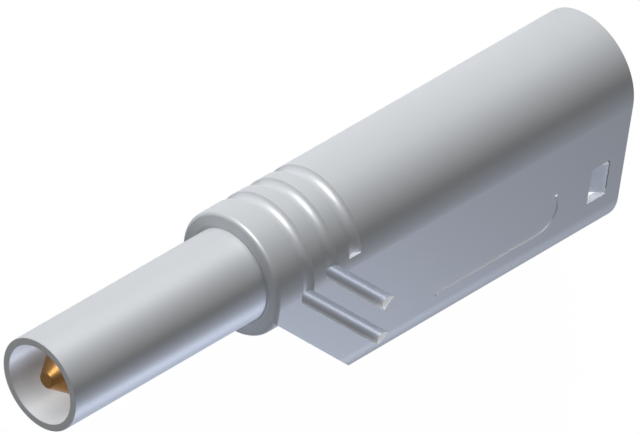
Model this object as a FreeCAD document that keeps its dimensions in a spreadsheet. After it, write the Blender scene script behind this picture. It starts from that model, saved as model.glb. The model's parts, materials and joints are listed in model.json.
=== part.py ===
import FreeCAD, Part
import math
import os
import Sketcher

# Stackable 4 mm safety plug with a rigid shroud, in millimetres.
# Each piece is drawn in the plug's own frame: the axis is X, from the mouth (-) to the rear (+), Z points
# from the keel to the round top, and X = 0 is the front face of the grip's collar. The plug can't stand on
# its rounded keel, so every piece is turned about X at the end, to lie on the flat side of the wing.

SIZES = {
    # Grip shell: a round top and a smaller round keel, joined by flat sides.
    "grip_length": 39.2,
    "keel_radius": 3.7,
    "keel_drop": 9.87,
    "bevel_start": 2.2,
    "front_round": 0.35,
    "rear_bevel": 0.1,
    "grip_wall": 0.7,
    "cavity_front": 13.4,
    "core_wall": 1.2,
    "core_floor": 1.75,
    "core_width": 4.0,
    "core_roof": 0.4,
    "core_overlap": 0.5,
    # Finger grooves, cut with a round cutter.
    "groove_round": 0.7,
    "groove_depth": 0.45,
    "groove_start": 3.27,
    "groove_pitch": 2.55,
    "stub_length": 0.3,
    "tail_end": 13.2,
    "stop_angle": 87.3,
    # Latch windows near the rear of both sides.
    "window_setback": 1.75,
    "window_length": 2.1,
    "window_top": 5.55,
    "window_height": 3.55,
    # Raised line on the side that faces up.
    "line_foot": 0.34,
    "line_crown": 0.14,
    "line_height": 0.11,
    "line_sink": 0.05,
    "line_setback": 20.6,
    "line_run": 11.2,
    "line_depth": 9.3,
    "line_bend": 2.0,
    "line_turn": 113.0,
    "line_tail": 0.6,
    # Insulating insert with the rigid shroud.
    "shroud_outer": 3.95,
    "shroud_wall": 0.62,
    "shroud_reach": 20.5,
    "mouth_bevel": 0.03,
    "neck_step": 0.25,
    "neck_clearance": 0.02,
    "web_front": 6.0,
    "chamber_length": 4.9,
    "recess_play": 0.15,
    "tube_wall": 0.4,
    "recess_setback": 0.4,
    "bore_clearance": 0.05,
    "insert_clearance": 0.08,
    "insert_drop": 10.2,
    "arm_thick": 0.9,
    "arm_top": 5.9,
    "arm_height": 2.8,
    "tooth_land": 0.4,
    "tooth_sink": 0.05,
    "tooth_gap": 0.08,
    "tooth_angle": 35.0,
    # Turned contact: pin at the front, socket at the rear.
    "tip_setback": 0.7,
    "tip_flat": 0.66,
    "tip_angle": 35.0,
    "tip_radius": 1.95,
    "tip_land": 0.6,
    "seat_radius": 1.45,
    "seat_length": 14.4,
    "shank_radius": 2.0,
    "barrel_wall": 0.525,
    "barrel_setback": 1.2,
    "socket_radius": 2.025,
    "socket_floor": 0.8,
    "socket_chamfer": 0.25,
    # Spring cage on the pin.
    "cage_thick": 0.18,
    "cage_ring": 1.3,
    "cage_rise": 4.2,
    "cage_bulge": 0.33,
    "cage_slots": 8.0,
    "cage_slot": 0.4,
    # Insulating tube round the socket.
    "guard_wall": 0.6,
    "guard_play": 0.125,
    "guard_setback": 0.6,
    # Wire terminal and its clamping screw.
    "slot_wall": 0.5,
    "terminal_length": 3.7,
    "terminal_wall": 0.35,
    "terminal_roof": 0.7,
    "terminal_drop": 10.9,
    "terminal_chamfer": 0.25,
    "wire_radius": 1.3,
    "wire_drop": 7.0,
    "wire_clearance": 0.2,
    "screw_radius": 1.5,
    "screw_length": 3.6,
    "screw_tip": 8.5,
    "screw_travel": 1.7,
    "screw_slot": 0.5,
    "screw_slot_depth": 0.7,
}

# Sizes and places that follow: the plug is built from its shroud outwards.
RECESS_RADIUS = "(sizes.shroud_outer + sizes.recess_play)"
INSERT_RADIUS = f"({RECESS_RADIUS} + sizes.tube_wall)"
CAVITY_RADIUS = f"({INSERT_RADIUS} + sizes.insert_clearance)"
GRIP_RADIUS = f"({CAVITY_RADIUS} + sizes.grip_wall)"
NECK_RADIUS = "(sizes.shroud_outer + sizes.neck_step)"
TAPER = f"asin(({GRIP_RADIUS} - sizes.keel_radius) / sizes.keel_drop)"
KEEL_DEPTH = "(sizes.keel_drop + sizes.keel_radius)"
ORBIT = f"({GRIP_RADIUS} + sizes.groove_round - sizes.groove_depth)"
SHROUD_INNER = "(sizes.shroud_outer - sizes.shroud_wall)"
RECESS_FACE = "(sizes.cavity_front + sizes.chamber_length)"
WINDOW_REAR = "(sizes.grip_length - sizes.window_setback)"
LINE_START = "(sizes.grip_length - sizes.line_setback)"
SHANK_BORE = "(sizes.shank_radius + sizes.bore_clearance)"
SLOT_FRONT = "(sizes.cavity_front + sizes.slot_wall)"
SLOT_LENGTH = "(sizes.terminal_length + 2 * sizes.bore_clearance)"
SCREW_X = f"({SLOT_FRONT} + {SLOT_LENGTH} / 2)"
TIP_FACE = "(sizes.tip_setback - sizes.shroud_reach)"
SEAT_FRONT = f"({TIP_FACE} + (sizes.tip_radius - sizes.tip_flat) / tan(sizes.tip_angle) + sizes.tip_land)"
BARREL_END = "(sizes.grip_length - sizes.barrel_setback)"
BARREL_RADIUS = "(sizes.socket_radius + sizes.barrel_wall)"
GUARD_BORE = f"({BARREL_RADIUS} + sizes.bore_clearance)"
TERMINAL_WIDTH = f"(2 * ({SHANK_BORE} + sizes.terminal_wall))"
TERMINAL_TOP = f"({SHANK_BORE} + sizes.terminal_roof)"

doc = FreeCAD.newDocument("banana_plug")
sizes = doc.addObject("Spreadsheet::Sheet", "sizes")
for row, (alias, value) in enumerate(SIZES.items(), start=1):
    sizes.set(f"A{row}", alias)
    sizes.set(f"B{row}", str(value))
    sizes.setAlias(f"B{row}", alias)
doc.recompute()


def number(expression):
    """Work out a size expression as a plain number."""
    found = sizes.evalExpression(expression)
    return float(getattr(found, "Value", found))


def new_body(label):
    """Start a piece under its own label."""
    body = doc.addObject("PartDesign::Body", label)
    body.Label = label
    return body


def origin(body, role):
    """Find one of the body's own origin planes or axes."""
    return (next(item for item in body.Origin.OriginFeatures if item.Role == role), [""])


def new_sketch(body, role, name, offset=None):
    """Put a sketch on one of the body's planes, moved by a placement expression if one is given."""
    sketch = body.newObject("Sketcher::SketchObject", name)
    sketch.AttachmentSupport = origin(body, role)
    sketch.MapMode = "FlatFace"
    if offset:
        sketch.setExpression("AttachmentOffset", offset)
    doc.recompute()
    return sketch


def spin(angle, axis):
    """Write the expression of a turn about an axis."""
    return f"create(<<rotation>>; create(<<vector>>; {axis}); {angle})"


def move(x="0", y="0", z="0", turn=spin("0", "1; 0; 0")):
    """Write the expression of a placement from its place and its turn."""
    return f"create(<<placement>>; create(<<vector>>; {x}; {y}; {z}); {turn})"


def lean(angle):
    """Write the expression of a turn about the plug's axis."""
    return spin(angle, "1; 0; 0")


def hold(sketch, kind, expression, *ends):
    """Add a dimension to a sketch and bind it to the sizes."""
    value = math.radians(number(expression)) if kind == "Angle" else number(expression)
    index = sketch.addConstraint(Sketcher.Constraint(kind, *ends, value))
    sketch.setExpression(f"Constraints[{index}]", expression)


def hold_point(sketch, x, y, geometry, end):
    """Hold one point of a sketch at two size expressions."""
    hold(sketch, "DistanceX", x, -1, 1, geometry, end)
    hold(sketch, "DistanceY", y, -1, 1, geometry, end)


def outline(sketch, points):
    """Draw a closed outline of straight edges, with each corner held at its size expressions."""
    spots = [FreeCAD.Vector(number(x), number(y), 0) for x, y in points]
    count = len(spots)
    for index, spot in enumerate(spots):
        sketch.addGeometry(Part.LineSegment(spot, spots[(index + 1) % count]), False)
    for index, (x, y) in enumerate(points):
        sketch.addConstraint(Sketcher.Constraint("Coincident", index, 2, (index + 1) % count, 1))
        hold_point(sketch, x, y, index, 1)


def circle(sketch, radius, x="0", y="0"):
    """Draw one circle, held by its centre and radius."""
    centre = FreeCAD.Vector(number(x), number(y), 0)
    index = sketch.addGeometry(Part.Circle(centre, FreeCAD.Vector(0, 0, 1), number(radius)), False)
    hold(sketch, "Radius", radius, index)
    hold_point(sketch, x, y, index, 3)


def rectangle(sketch, low_x, high_x, low_y, high_y):
    """Draw a rectangle between two size expressions each way."""
    outline(sketch, [(low_x, low_y), (high_x, low_y), (high_x, high_y), (low_x, high_y)])


def pad(body, sketch, length, name):
    """Grow a sketch along its normal."""
    feature = body.newObject("PartDesign::Pad", name)
    feature.Profile = sketch
    feature.setExpression("Length", length)
    return finish(body, feature, sketch, adds=True)


def pocket(body, sketch, length, name, both_ways=False, reversed_way=False):
    """Cut a sketch into the body, to a length or the same length both ways."""
    feature = body.newObject("PartDesign::Pocket", name)
    feature.Profile = sketch
    feature.Midplane = both_ways
    feature.Reversed = reversed_way
    feature.setExpression("Length", length)
    return finish(body, feature, sketch, adds=False)


def turned(body, sketch, name):
    """Turn a half profile about the plug's axis."""
    feature = body.newObject("PartDesign::Revolution", name)
    feature.Profile = sketch
    feature.ReferenceAxis = origin(body, "X_Axis")
    feature.Angle = 360
    return finish(body, feature, sketch, adds=True)


def finish(body, feature, sketch, adds):
    """Recompute, and stop if a cut or a growth had no effect."""
    before = body.Shape.Volume if body.Shape.Solids else 0.0
    if sketch:
        sketch.Visibility = False
    doc.recompute()
    change = feature.Shape.Volume - before
    if not (change > 1e-6 if adds else change < -1e-6):
        raise RuntimeError(f"{feature.Name} changes nothing")
    return feature


def break_edges(body, base, wanted, kind, size, name):
    """Round or bevel the edges of a feature that a test picks out."""
    picked = [f"Edge{index}" for index, edge in enumerate(base.Shape.Edges, start=1) if wanted(edge)]
    feature = body.newObject(f"PartDesign::{kind}", name)
    feature.Base = (base, picked)
    feature.setExpression("Radius" if kind == "Fillet" else "Size", size)
    doc.recompute()
    return feature


def lies_at(edge, x):
    """Tell whether an edge lies in the plane at one X."""
    box = edge.BoundBox
    return abs(box.XMin - x) < 1e-4 and abs(box.XMax - x) < 1e-4


def teardrop(sketch, top_radius, low_radius):
    """Draw the grip's section: a top arc and a keel arc, joined by two lines that touch both."""
    upper = number(top_radius)
    lower = number(low_radius)
    drop = number("sizes.keel_drop")
    tilt = math.asin((upper - lower) / drop)
    up = FreeCAD.Vector(0, 0, 1)
    keel = FreeCAD.Vector(0, -drop, 0)

    def touch(centre, radius, side):
        return centre + FreeCAD.Vector(side * math.cos(tilt), -math.sin(tilt), 0) * radius

    zero = FreeCAD.Vector(0, 0, 0)
    sketch.addGeometry(Part.ArcOfCircle(Part.Circle(zero, up, upper), -tilt, math.pi + tilt), False)
    sketch.addGeometry(Part.LineSegment(touch(zero, upper, -1), touch(keel, lower, -1)), False)
    sketch.addGeometry(Part.ArcOfCircle(Part.Circle(keel, up, lower), math.pi + tilt, -tilt), False)
    sketch.addGeometry(Part.LineSegment(touch(keel, lower, 1), touch(zero, upper, 1)), False)
    sketch.addConstraint([
        Sketcher.Constraint("Tangent", 0, 2, 1, 1),
        Sketcher.Constraint("Tangent", 1, 2, 2, 1),
        Sketcher.Constraint("Tangent", 2, 2, 3, 1),
        Sketcher.Constraint("Tangent", 3, 2, 0, 1),
        Sketcher.Constraint("Coincident", 0, 3, -1, 1),
        Sketcher.Constraint("PointOnObject", 2, 3, -2),
    ])
    hold(sketch, "Radius", top_radius, 0)
    hold(sketch, "Radius", low_radius, 2)
    hold(sketch, "DistanceY", "-sizes.keel_drop", -1, 1, 2, 3)


def cutter(body, kind, name, sizes_of_it, placement):
    """Cut with a round tool: each of its sizes and its place is an expression."""
    feature = body.newObject(f"PartDesign::Subtractive{kind}", name)
    for key, expression in sizes_of_it.items():
        feature.setExpression(key, expression)
    feature.setExpression("Placement", placement)
    return finish(body, feature, None, adds=False)


def cut_ring(body, name, x, reach):
    """Cut a groove round the top, as far down each side as its reach from the top."""
    section = new_sketch(body, "XZ_Plane", f"{name}_section")
    circle(section, "sizes.groove_round", x, ORBIT)
    feature = body.newObject("PartDesign::Groove", name)
    feature.Profile = section
    feature.ReferenceAxis = origin(body, "X_Axis")
    feature.Midplane = True
    feature.setExpression("Angle", f"2 * ({reach})")
    finish(body, feature, section, adds=False)


def cut_tail(body, name, side, x, y, z):
    """Cut the round corner of a groove and its straight tail, down and back at 45 degrees."""
    cutter(body, "Sphere", f"{name}_corner", {"Radius": "sizes.groove_round"}, move(x, y, z))
    turn = f"{lean(f'-{side} * {TAPER}')} * {spin('135', '0; 1; 0')}"
    wanted = {"Radius": "sizes.groove_round", "Height": f"(sizes.tail_end - {x}) * sqrt(2)"}
    cutter(body, "Cylinder", name, wanted, move(x, y, z, turn))


def cut_grooves(body):
    """Cut the three finger grooves: round the top, and two of them on down both sides of the wing."""
    first = "sizes.groove_start"
    second = "(sizes.groove_start + sizes.groove_pitch)"
    third = "(sizes.groove_start + 2 * sizes.groove_pitch)"
    cut_ring(body, "ring_one", first, f"90 deg + {TAPER}")
    cut_ring(body, "ring_two", second, "90 deg")
    cut_ring(body, "ring_three", third, "sizes.stop_angle * 1 deg")

    # Groove one runs straight down the flat side for a short way before it turns.
    drop = "sizes.stub_length"
    low_z = f"(-{ORBIT} * sin({TAPER}) - {drop} * cos({TAPER}))"
    for label, side in (("near", "(-1)"), ("far", "1")):
        foot_y = f"({side} * {ORBIT} * cos({TAPER}))"
        foot_z = f"(-{ORBIT} * sin({TAPER}))"
        down = move(first, foot_y, foot_z, lean(f"180 deg - {side} * {TAPER}"))
        cutter(body, "Cylinder", f"{label}_stub", {"Radius": "sizes.groove_round", "Height": drop}, down)
        low_y = f"({foot_y} - {side} * {drop} * sin({TAPER}))"
        cut_tail(body, f"{label}_tail_one", side, first, low_y, low_z)
        cut_tail(body, f"{label}_tail_two", side, second, f"({side} * {ORBIT})", "0")


def make_housing():
    """The moulded grip shell, open at the rear."""
    body = new_body("housing")
    section = new_sketch(body, "YZ_Plane", "grip_section")
    teardrop(section, GRIP_RADIUS, "sizes.keel_radius")
    pad(body, section, "sizes.grip_length", "grip")

    bevel = new_sketch(body, "XZ_Plane", "bevel_section")
    beyond = f"({KEEL_DEPTH} + 1)"
    corners = [("-1", "1 - sizes.bevel_start"), (f"{beyond} - sizes.bevel_start", f"-{beyond}"),
               ("-1", f"-{beyond}")]
    outline(bevel, corners)
    wing = pocket(body, bevel, f"3 * {GRIP_RADIUS}", "bevel", both_ways=True)

    low = number("-sizes.bevel_start") + 0.01
    front = break_edges(body, wing, lambda edge: lies_at(edge, 0) and edge.BoundBox.ZMax > low,
                        "Fillet", "sizes.front_round", "wing_front_round")
    rear_x = number("sizes.grip_length")
    break_edges(body, front, lambda edge: lies_at(edge, rear_x), "Chamfer", "sizes.rear_bevel", "rear_rim")

    collar = new_sketch(body, "XZ_Plane", "collar_section")
    rim = f"({GRIP_RADIUS} - sizes.front_round)"
    far = GRIP_RADIUS
    outline(collar, [("0", "0"), ("0", rim), ("sizes.front_round", GRIP_RADIUS),
                     (far, GRIP_RADIUS), (far, "0")])
    round_corner(collar, "sizes.front_round", 1)
    turned(body, collar, "collar")

    neck = new_sketch(body, "YZ_Plane", "neck_bore")
    circle(neck, f"{NECK_RADIUS} + sizes.neck_clearance")
    pocket(body, neck, "sizes.cavity_front + 1", "neck_passage", reversed_way=True)

    cavity = new_sketch(body, "YZ_Plane", "cavity_section", move(z="sizes.cavity_front"))
    teardrop(cavity, CAVITY_RADIUS, "(sizes.keel_radius - sizes.grip_wall)")
    pocket(body, cavity, "sizes.grip_length", "cavity", reversed_way=True)

    core = new_sketch(body, "XZ_Plane", "core_section")
    core_top = f"({GRIP_RADIUS} + sizes.core_roof)"
    core_low = f"({KEEL_DEPTH} - sizes.core_floor)"
    slant = "(sizes.core_wall * sqrt(2) - sizes.bevel_start)"
    inside = "(sizes.cavity_front + sizes.core_overlap)"
    outline(core, [(f"{core_top} + {slant}", f"-{core_top}"), (inside, f"-{core_top}"),
                   (inside, f"-{core_low}"), (f"{core_low} + {slant}", f"-{core_low}")])
    pocket(body, core, "sizes.core_width", "core", both_ways=True)

    window = new_sketch(body, "XZ_Plane", "window_section")
    rectangle(window, f"{WINDOW_REAR} - sizes.window_length", WINDOW_REAR,
              "-sizes.window_top - sizes.window_height", "-sizes.window_top")
    pocket(body, window, f"3 * {GRIP_RADIUS}", "windows", both_ways=True)

    cut_grooves(body)
    add_raised_line(body)
    return body


def round_corner(sketch, radius, index):
    """Turn one short straight edge of an outline into an arc that bulges outwards, held by its radius."""
    line = sketch.Geometry[index]
    start = line.StartPoint
    end = line.EndPoint
    centre = FreeCAD.Vector(end.x, start.y, 0)
    size = number(radius)
    arc = Part.ArcOfCircle(Part.Circle(centre, FreeCAD.Vector(0, 0, 1), size), math.pi / 2, math.pi)
    sketch.toggleConstruction(index)
    new = sketch.addGeometry(arc, False)
    sketch.addConstraint([
        Sketcher.Constraint("Coincident", new, 2, index, 1),
        Sketcher.Constraint("Coincident", new, 1, index, 2),
    ])
    hold(sketch, "Radius", radius, new)


def add_raised_line(body):
    """The thin raised line on the side that faces up: a run, a bend towards the top and a short tail."""
    side_depth = f"((sizes.line_depth - {GRIP_RADIUS} * sin({TAPER})) / cos({TAPER}))"
    lift = f"({GRIP_RADIUS} - sizes.line_sink)"
    # The path's plane is the wing's flat side: X runs back and Y runs up the side.
    flat_side = move("0", f"-{lift} * sin({TAPER})", f"{lift} * cos({TAPER})", lean(TAPER))
    path = new_sketch(body, "XZ_Plane", "line_path", flat_side)
    start = FreeCAD.Vector(number(LINE_START), -number(side_depth), 0)
    bend = number("sizes.line_bend")
    run_end = start + FreeCAD.Vector(number("sizes.line_run"), 0, 0)
    centre = run_end + FreeCAD.Vector(0, bend, 0)
    turn = math.radians(number("sizes.line_turn"))
    bend_end = centre + FreeCAD.Vector(math.sin(turn), -math.cos(turn), 0) * bend
    tail = FreeCAD.Vector(math.cos(turn), math.sin(turn), 0) * number("sizes.line_tail")
    up = FreeCAD.Vector(0, 0, 1)
    path.addGeometry(Part.LineSegment(start, run_end), False)
    path.addGeometry(Part.ArcOfCircle(Part.Circle(centre, up, bend), -math.pi / 2, turn - math.pi / 2), False)
    path.addGeometry(Part.LineSegment(bend_end, bend_end + tail), False)
    path.addConstraint([
        Sketcher.Constraint("Horizontal", 0),
        Sketcher.Constraint("Tangent", 0, 2, 1, 1),
        Sketcher.Constraint("Tangent", 1, 2, 2, 1),
    ])
    hold_point(path, LINE_START, f"-{side_depth}", 0, 1)
    hold(path, "Distance", "sizes.line_run", 0)
    hold(path, "Radius", "sizes.line_bend", 1)
    hold(path, "Distance", "sizes.line_tail", 2)
    hold(path, "Angle", "sizes.line_turn", 0, 1, 2, 1)
    doc.recompute()
    profile = new_sketch(body, "YZ_Plane", "line_profile", move(z=LINE_START))
    # The bead's section: a narrower crown on a foot that is sunk a little into the side.
    foot = "sizes.line_foot / 2"
    crown = "sizes.line_crown / 2"
    tall = "(sizes.line_sink + sizes.line_height)"
    section = [(foot, "0"), (crown, tall), (f"-{crown}", tall), (f"-{foot}", "0")]
    outline(profile, [(f"-({lift} + {out}) * cos({TAPER}) + ({side_depth} + {down}) * sin({TAPER})",
                       f"-({lift} + {out}) * sin({TAPER}) - ({side_depth} + {down}) * cos({TAPER})")
                      for down, out in section])
    doc.recompute()
    pipe = body.newObject("PartDesign::AdditivePipe", "raised_line")
    pipe.Profile = profile
    pipe.Spine = (path, ["Edge1", "Edge2", "Edge3"])
    finish(body, pipe, profile, adds=True)


def make_carrier():
    """The insulating insert: front shroud, web, terminal chamber, rear recess tube and two latch arms."""
    body = new_body("carrier")
    mouth = "-sizes.shroud_reach"
    tube_end = "(sizes.grip_length - sizes.recess_setback)"
    turned_section = new_sketch(body, "XZ_Plane", "turned_section")
    mouth_bevel = f"({mouth} + sizes.mouth_bevel)"
    outline(turned_section, [
        (mouth_bevel, SHROUD_INNER), (mouth, f"{SHROUD_INNER} + sizes.mouth_bevel"),
        (mouth, "sizes.shroud_outer - sizes.mouth_bevel"), (mouth_bevel, "sizes.shroud_outer"),
        ("0", "sizes.shroud_outer"), ("0", NECK_RADIUS),
        ("sizes.cavity_front", NECK_RADIUS), ("sizes.cavity_front", INSERT_RADIUS),
        (tube_end, INSERT_RADIUS), (tube_end, RECESS_RADIUS),
        (RECESS_FACE, RECESS_RADIUS), (RECESS_FACE, SHANK_BORE),
        ("sizes.web_front", SHANK_BORE), ("sizes.web_front", SHROUD_INNER)])
    turned(body, turned_section, "tube")

    # The chamber's side walls lie along the inside of the grip's flat sides.
    chamber = new_sketch(body, "YZ_Plane", "chamber_section", move(z="sizes.cavity_front"))
    reach = f"(({INSERT_RADIUS} - sizes.insert_drop * sin({TAPER})) / cos({TAPER}))"
    touch_y = f"({INSERT_RADIUS} * cos({TAPER}))"
    touch_z = f"({INSERT_RADIUS} * sin({TAPER}))"
    outline(chamber, [
        (f"-{touch_y}", f"-{touch_z}"), (f"-{reach}", "-sizes.insert_drop"),
        (reach, "-sizes.insert_drop"), (touch_y, f"-{touch_z}")])
    pad(body, chamber, f"{RECESS_FACE} - sizes.cavity_front", "chamber")
    bore = new_sketch(body, "YZ_Plane", "shank_bore", move(z="sizes.web_front"))
    circle(bore, SHANK_BORE)
    pocket(body, bore, f"{RECESS_FACE} - sizes.web_front", "shank_passage", reversed_way=True)

    slot = new_sketch(body, "XZ_Plane", "slot_section")
    rectangle(slot, SLOT_FRONT, f"{SLOT_FRONT} + {SLOT_LENGTH}",
              "-sizes.insert_drop - 1", f"{TERMINAL_TOP} + sizes.bore_clearance")
    pocket(body, slot, f"{TERMINAL_WIDTH} + 2 * sizes.bore_clearance", "terminal_slot", both_ways=True)

    wire_way = new_sketch(body, "YZ_Plane", "wire_way_section", move(z=RECESS_FACE))
    circle(wire_way, "sizes.wire_radius + sizes.wire_clearance", "0", "-sizes.wire_drop")
    pocket(body, wire_way, f"{RECESS_FACE} - {SLOT_FRONT} - {SLOT_LENGTH} / 2", "wire_way")

    arm = make_arm(body)
    other_side = body.newObject("PartDesign::Mirrored", "arms_mirrored")
    other_side.Originals = [arm]
    other_side.MirrorPlane = origin(body, "XZ_Plane")
    body.Tip = other_side
    doc.recompute()
    return body


def make_arm(body):
    """One latch arm along the inside of the grip's side, with its tooth in the window."""
    surface_shift = f"({GRIP_RADIUS} * sin({TAPER}))"
    top = f"((sizes.arm_top - {surface_shift}) / cos({TAPER}))"
    tall = f"(sizes.arm_height / cos({TAPER}))"
    low = f"({top} + {tall})"
    place = move("0", f"{low} * sin({TAPER})", f"-{low} * cos({TAPER})", lean(TAPER))
    sketch = new_sketch(body, "XY_Plane", "arm_section", place)
    end = f"({WINDOW_REAR} - sizes.tooth_gap)"
    land = f"({GRIP_RADIUS} - sizes.tooth_sink)"
    foot = f"({end} - sizes.tooth_land - ({land} - {INSERT_RADIUS}) / tan(sizes.tooth_angle))"
    root = f"({RECESS_FACE} - sizes.slot_wall / 2)"
    inner = f"({INSERT_RADIUS} - sizes.arm_thick)"
    outline(sketch, [
        (root, f"-{inner}"), (end, f"-{inner}"), (end, f"-{land}"),
        (f"{end} - sizes.tooth_land", f"-{land}"), (foot, f"-{INSERT_RADIUS}"), (root, f"-{INSERT_RADIUS}")])
    return pad(body, sketch, tall, "arm")


def make_contact_body():
    """The turned contact: a nose, the spring's seat, the shank and the rear socket."""
    body = new_body("contact_body")
    section = new_sketch(body, "XZ_Plane", "contact_section")
    cone_end = f"({SEAT_FRONT} - sizes.tip_land)"
    seat_end = f"({SEAT_FRONT} + sizes.seat_length)"
    bottom = f"({RECESS_FACE} + sizes.socket_floor)"
    outline(section, [
        (TIP_FACE, "0"), (TIP_FACE, "sizes.tip_flat"), (cone_end, "sizes.tip_radius"),
        (SEAT_FRONT, "sizes.tip_radius"), (SEAT_FRONT, "sizes.seat_radius"), (seat_end, "sizes.seat_radius"),
        (seat_end, "sizes.shank_radius"), (RECESS_FACE, "sizes.shank_radius"),
        (RECESS_FACE, BARREL_RADIUS), (BARREL_END, BARREL_RADIUS),
        (BARREL_END, "sizes.socket_radius + sizes.socket_chamfer"),
        (f"{BARREL_END} - sizes.socket_chamfer", "sizes.socket_radius"),
        (bottom, "sizes.socket_radius"), (bottom, "0")])
    turned(body, section, "contact")
    return body


def make_contact_spring():
    """The spring cage: two rings joined by bowed bars, left between slots."""
    body = new_body("contact_spring")
    section = new_sketch(body, "XZ_Plane", "cage_section")
    low_x = f"({SEAT_FRONT} + sizes.bore_clearance)"
    high_x = f"({SEAT_FRONT} + sizes.seat_length - sizes.bore_clearance)"
    inner = "(sizes.seat_radius + sizes.bore_clearance)"
    outer = f"({inner} + sizes.cage_thick)"
    rise = "(sizes.cage_ring + sizes.cage_rise)"
    outline(section, [
        (low_x, inner), (low_x, outer), (f"{low_x} + sizes.cage_ring", outer),
        (f"{low_x} + {rise}", f"{outer} + sizes.cage_bulge"),
        (f"{high_x} - {rise}", f"{outer} + sizes.cage_bulge"),
        (f"{high_x} - sizes.cage_ring", outer), (high_x, outer), (high_x, inner),
        (f"{high_x} - sizes.cage_ring", inner), (f"{high_x} - {rise}", f"{inner} + sizes.cage_bulge"),
        (f"{low_x} + {rise}", f"{inner} + sizes.cage_bulge"), (f"{low_x} + sizes.cage_ring", inner)])
    turned(body, section, "cage")
    slot = new_sketch(body, "XY_Plane", "slot_section")
    rectangle(slot, f"{low_x} + sizes.cage_ring", f"{high_x} - sizes.cage_ring",
              "-sizes.cage_slot / 2", "sizes.cage_slot / 2")
    first = pocket(body, slot, "2 * sizes.shank_radius", "first_slot", reversed_way=True)
    around = body.newObject("PartDesign::PolarPattern", "slots")
    around.Originals = [first]
    around.Axis = origin(body, "X_Axis")
    around.Angle = 360
    around.setExpression("Occurrences", "sizes.cage_slots")
    body.Tip = around
    doc.recompute()
    return body


def make_socket_guard():
    """The insulating tube round the rear socket, with a lip over the socket's end."""
    body = new_body("socket_guard")
    section = new_sketch(body, "XZ_Plane", "guard_section")
    lip = f"({BARREL_END} + sizes.bore_clearance)"
    end = "(sizes.grip_length - sizes.guard_setback)"
    outer = f"({GUARD_BORE} + sizes.guard_wall)"
    lip_bore = "(sizes.socket_radius + sizes.guard_play)"
    outline(section, [
        (RECESS_FACE, GUARD_BORE), (RECESS_FACE, outer), (end, outer),
        (end, lip_bore), (lip, lip_bore), (lip, GUARD_BORE)])
    turned(body, section, "guard")
    return body


def make_terminal_block():
    """The wire terminal: the shank passes through its top, the wire and the screw meet lower down."""
    body = new_body("terminal_block")
    front = f"({SLOT_FRONT} + sizes.bore_clearance)"
    block = new_sketch(body, "YZ_Plane", "block_section", move(z=front))
    rectangle(block, f"-{TERMINAL_WIDTH} / 2", f"{TERMINAL_WIDTH} / 2",
              "-sizes.terminal_drop", TERMINAL_TOP)
    pad(body, block, "sizes.terminal_length", "block")
    shank = new_sketch(body, "YZ_Plane", "shank_hole_section", move(z=front))
    circle(shank, "sizes.shank_radius + sizes.bore_clearance")
    pocket(body, shank, "sizes.terminal_length", "shank_hole", reversed_way=True)
    wire = new_sketch(body, "YZ_Plane", "wire_hole_section", move(z=front))
    circle(wire, "sizes.wire_radius", "0", "-sizes.wire_drop")
    pocket(body, wire, "sizes.terminal_length", "wire_hole", reversed_way=True)
    thread = new_sketch(body, "XY_Plane", "screw_hole_section", move(z="-sizes.terminal_drop"))
    circle(thread, "sizes.screw_radius + sizes.bore_clearance", SCREW_X)
    deep = "sizes.terminal_drop - sizes.screw_tip + sizes.screw_travel + sizes.bore_clearance"
    hole = pocket(body, thread, deep, "screw_hole", reversed_way=True)
    half = number(TERMINAL_WIDTH) / 2

    def is_side_edge(edge):
        straight = edge.Curve.TypeId == "Part::GeomLine"
        return straight and abs(abs(edge.CenterOfMass.y) - half) < 1e-4 and edge.BoundBox.XLength < 1e-4

    break_edges(body, hole, is_side_edge, "Chamfer", "sizes.terminal_chamfer", "block_edges")
    return body


def make_clamp_screw():
    """The slotted clamping screw, below the wire hole and backed out."""
    body = new_body("clamp_screw")
    shank = new_sketch(body, "XY_Plane", "screw_section", move(z="-sizes.screw_tip - sizes.screw_length"))
    circle(shank, "sizes.screw_radius", SCREW_X)
    pad(body, shank, "sizes.screw_length", "shank")
    slot = new_sketch(body, "XZ_Plane", "driver_slot_section")
    low = "(-sizes.screw_tip - sizes.screw_length)"
    rectangle(slot, f"{SCREW_X} - sizes.screw_slot / 2", f"{SCREW_X} + sizes.screw_slot / 2",
              f"{low} - 1", f"{low} + sizes.screw_slot_depth")
    pocket(body, slot, "4 * sizes.screw_radius", "driver_slot", both_ways=True)
    return body


pieces = [make_housing(), make_carrier(), make_contact_body(), make_contact_spring(), make_socket_guard(),
          make_terminal_block(), make_clamp_screw()]
for piece in pieces:
    piece.setExpression("Placement", move(turn=lean(f"{TAPER} - 90 deg")))
doc.recompute()

for item in doc.Objects:
    if "Invalid" in item.State or "Error" in item.State:
        raise RuntimeError(f"{item.Label} is {item.State}")
os.makedirs("parts", exist_ok=True)
for piece in pieces:
    if piece.Shape.isNull() or not piece.Shape.isValid() or len(piece.Shape.Solids) != 1:
        raise RuntimeError(f"{piece.Label} is not one valid solid")
    piece.Shape.exportStep(f"parts/{piece.Label}.step")
    print(f"{piece.Label}: {piece.Shape.Volume:.2f} cubic mm")
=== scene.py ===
# %% [markdown]
# A stackable 4 mm safety plug. Its rigid shroud and the sprung pin inside it go into a socket, and the grip
# behind has finger grooves, a latch window in each side and a wing that holds the wire clamp.
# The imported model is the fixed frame: it says where each piece is, in metres. This lesson gives every piece
# its finish, and builds in Blender the pieces whose real form is finer than the frame's.

# %% Load the frame
import json
import math

import bmesh
import bpy
from mathutils import Matrix, Vector


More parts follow.
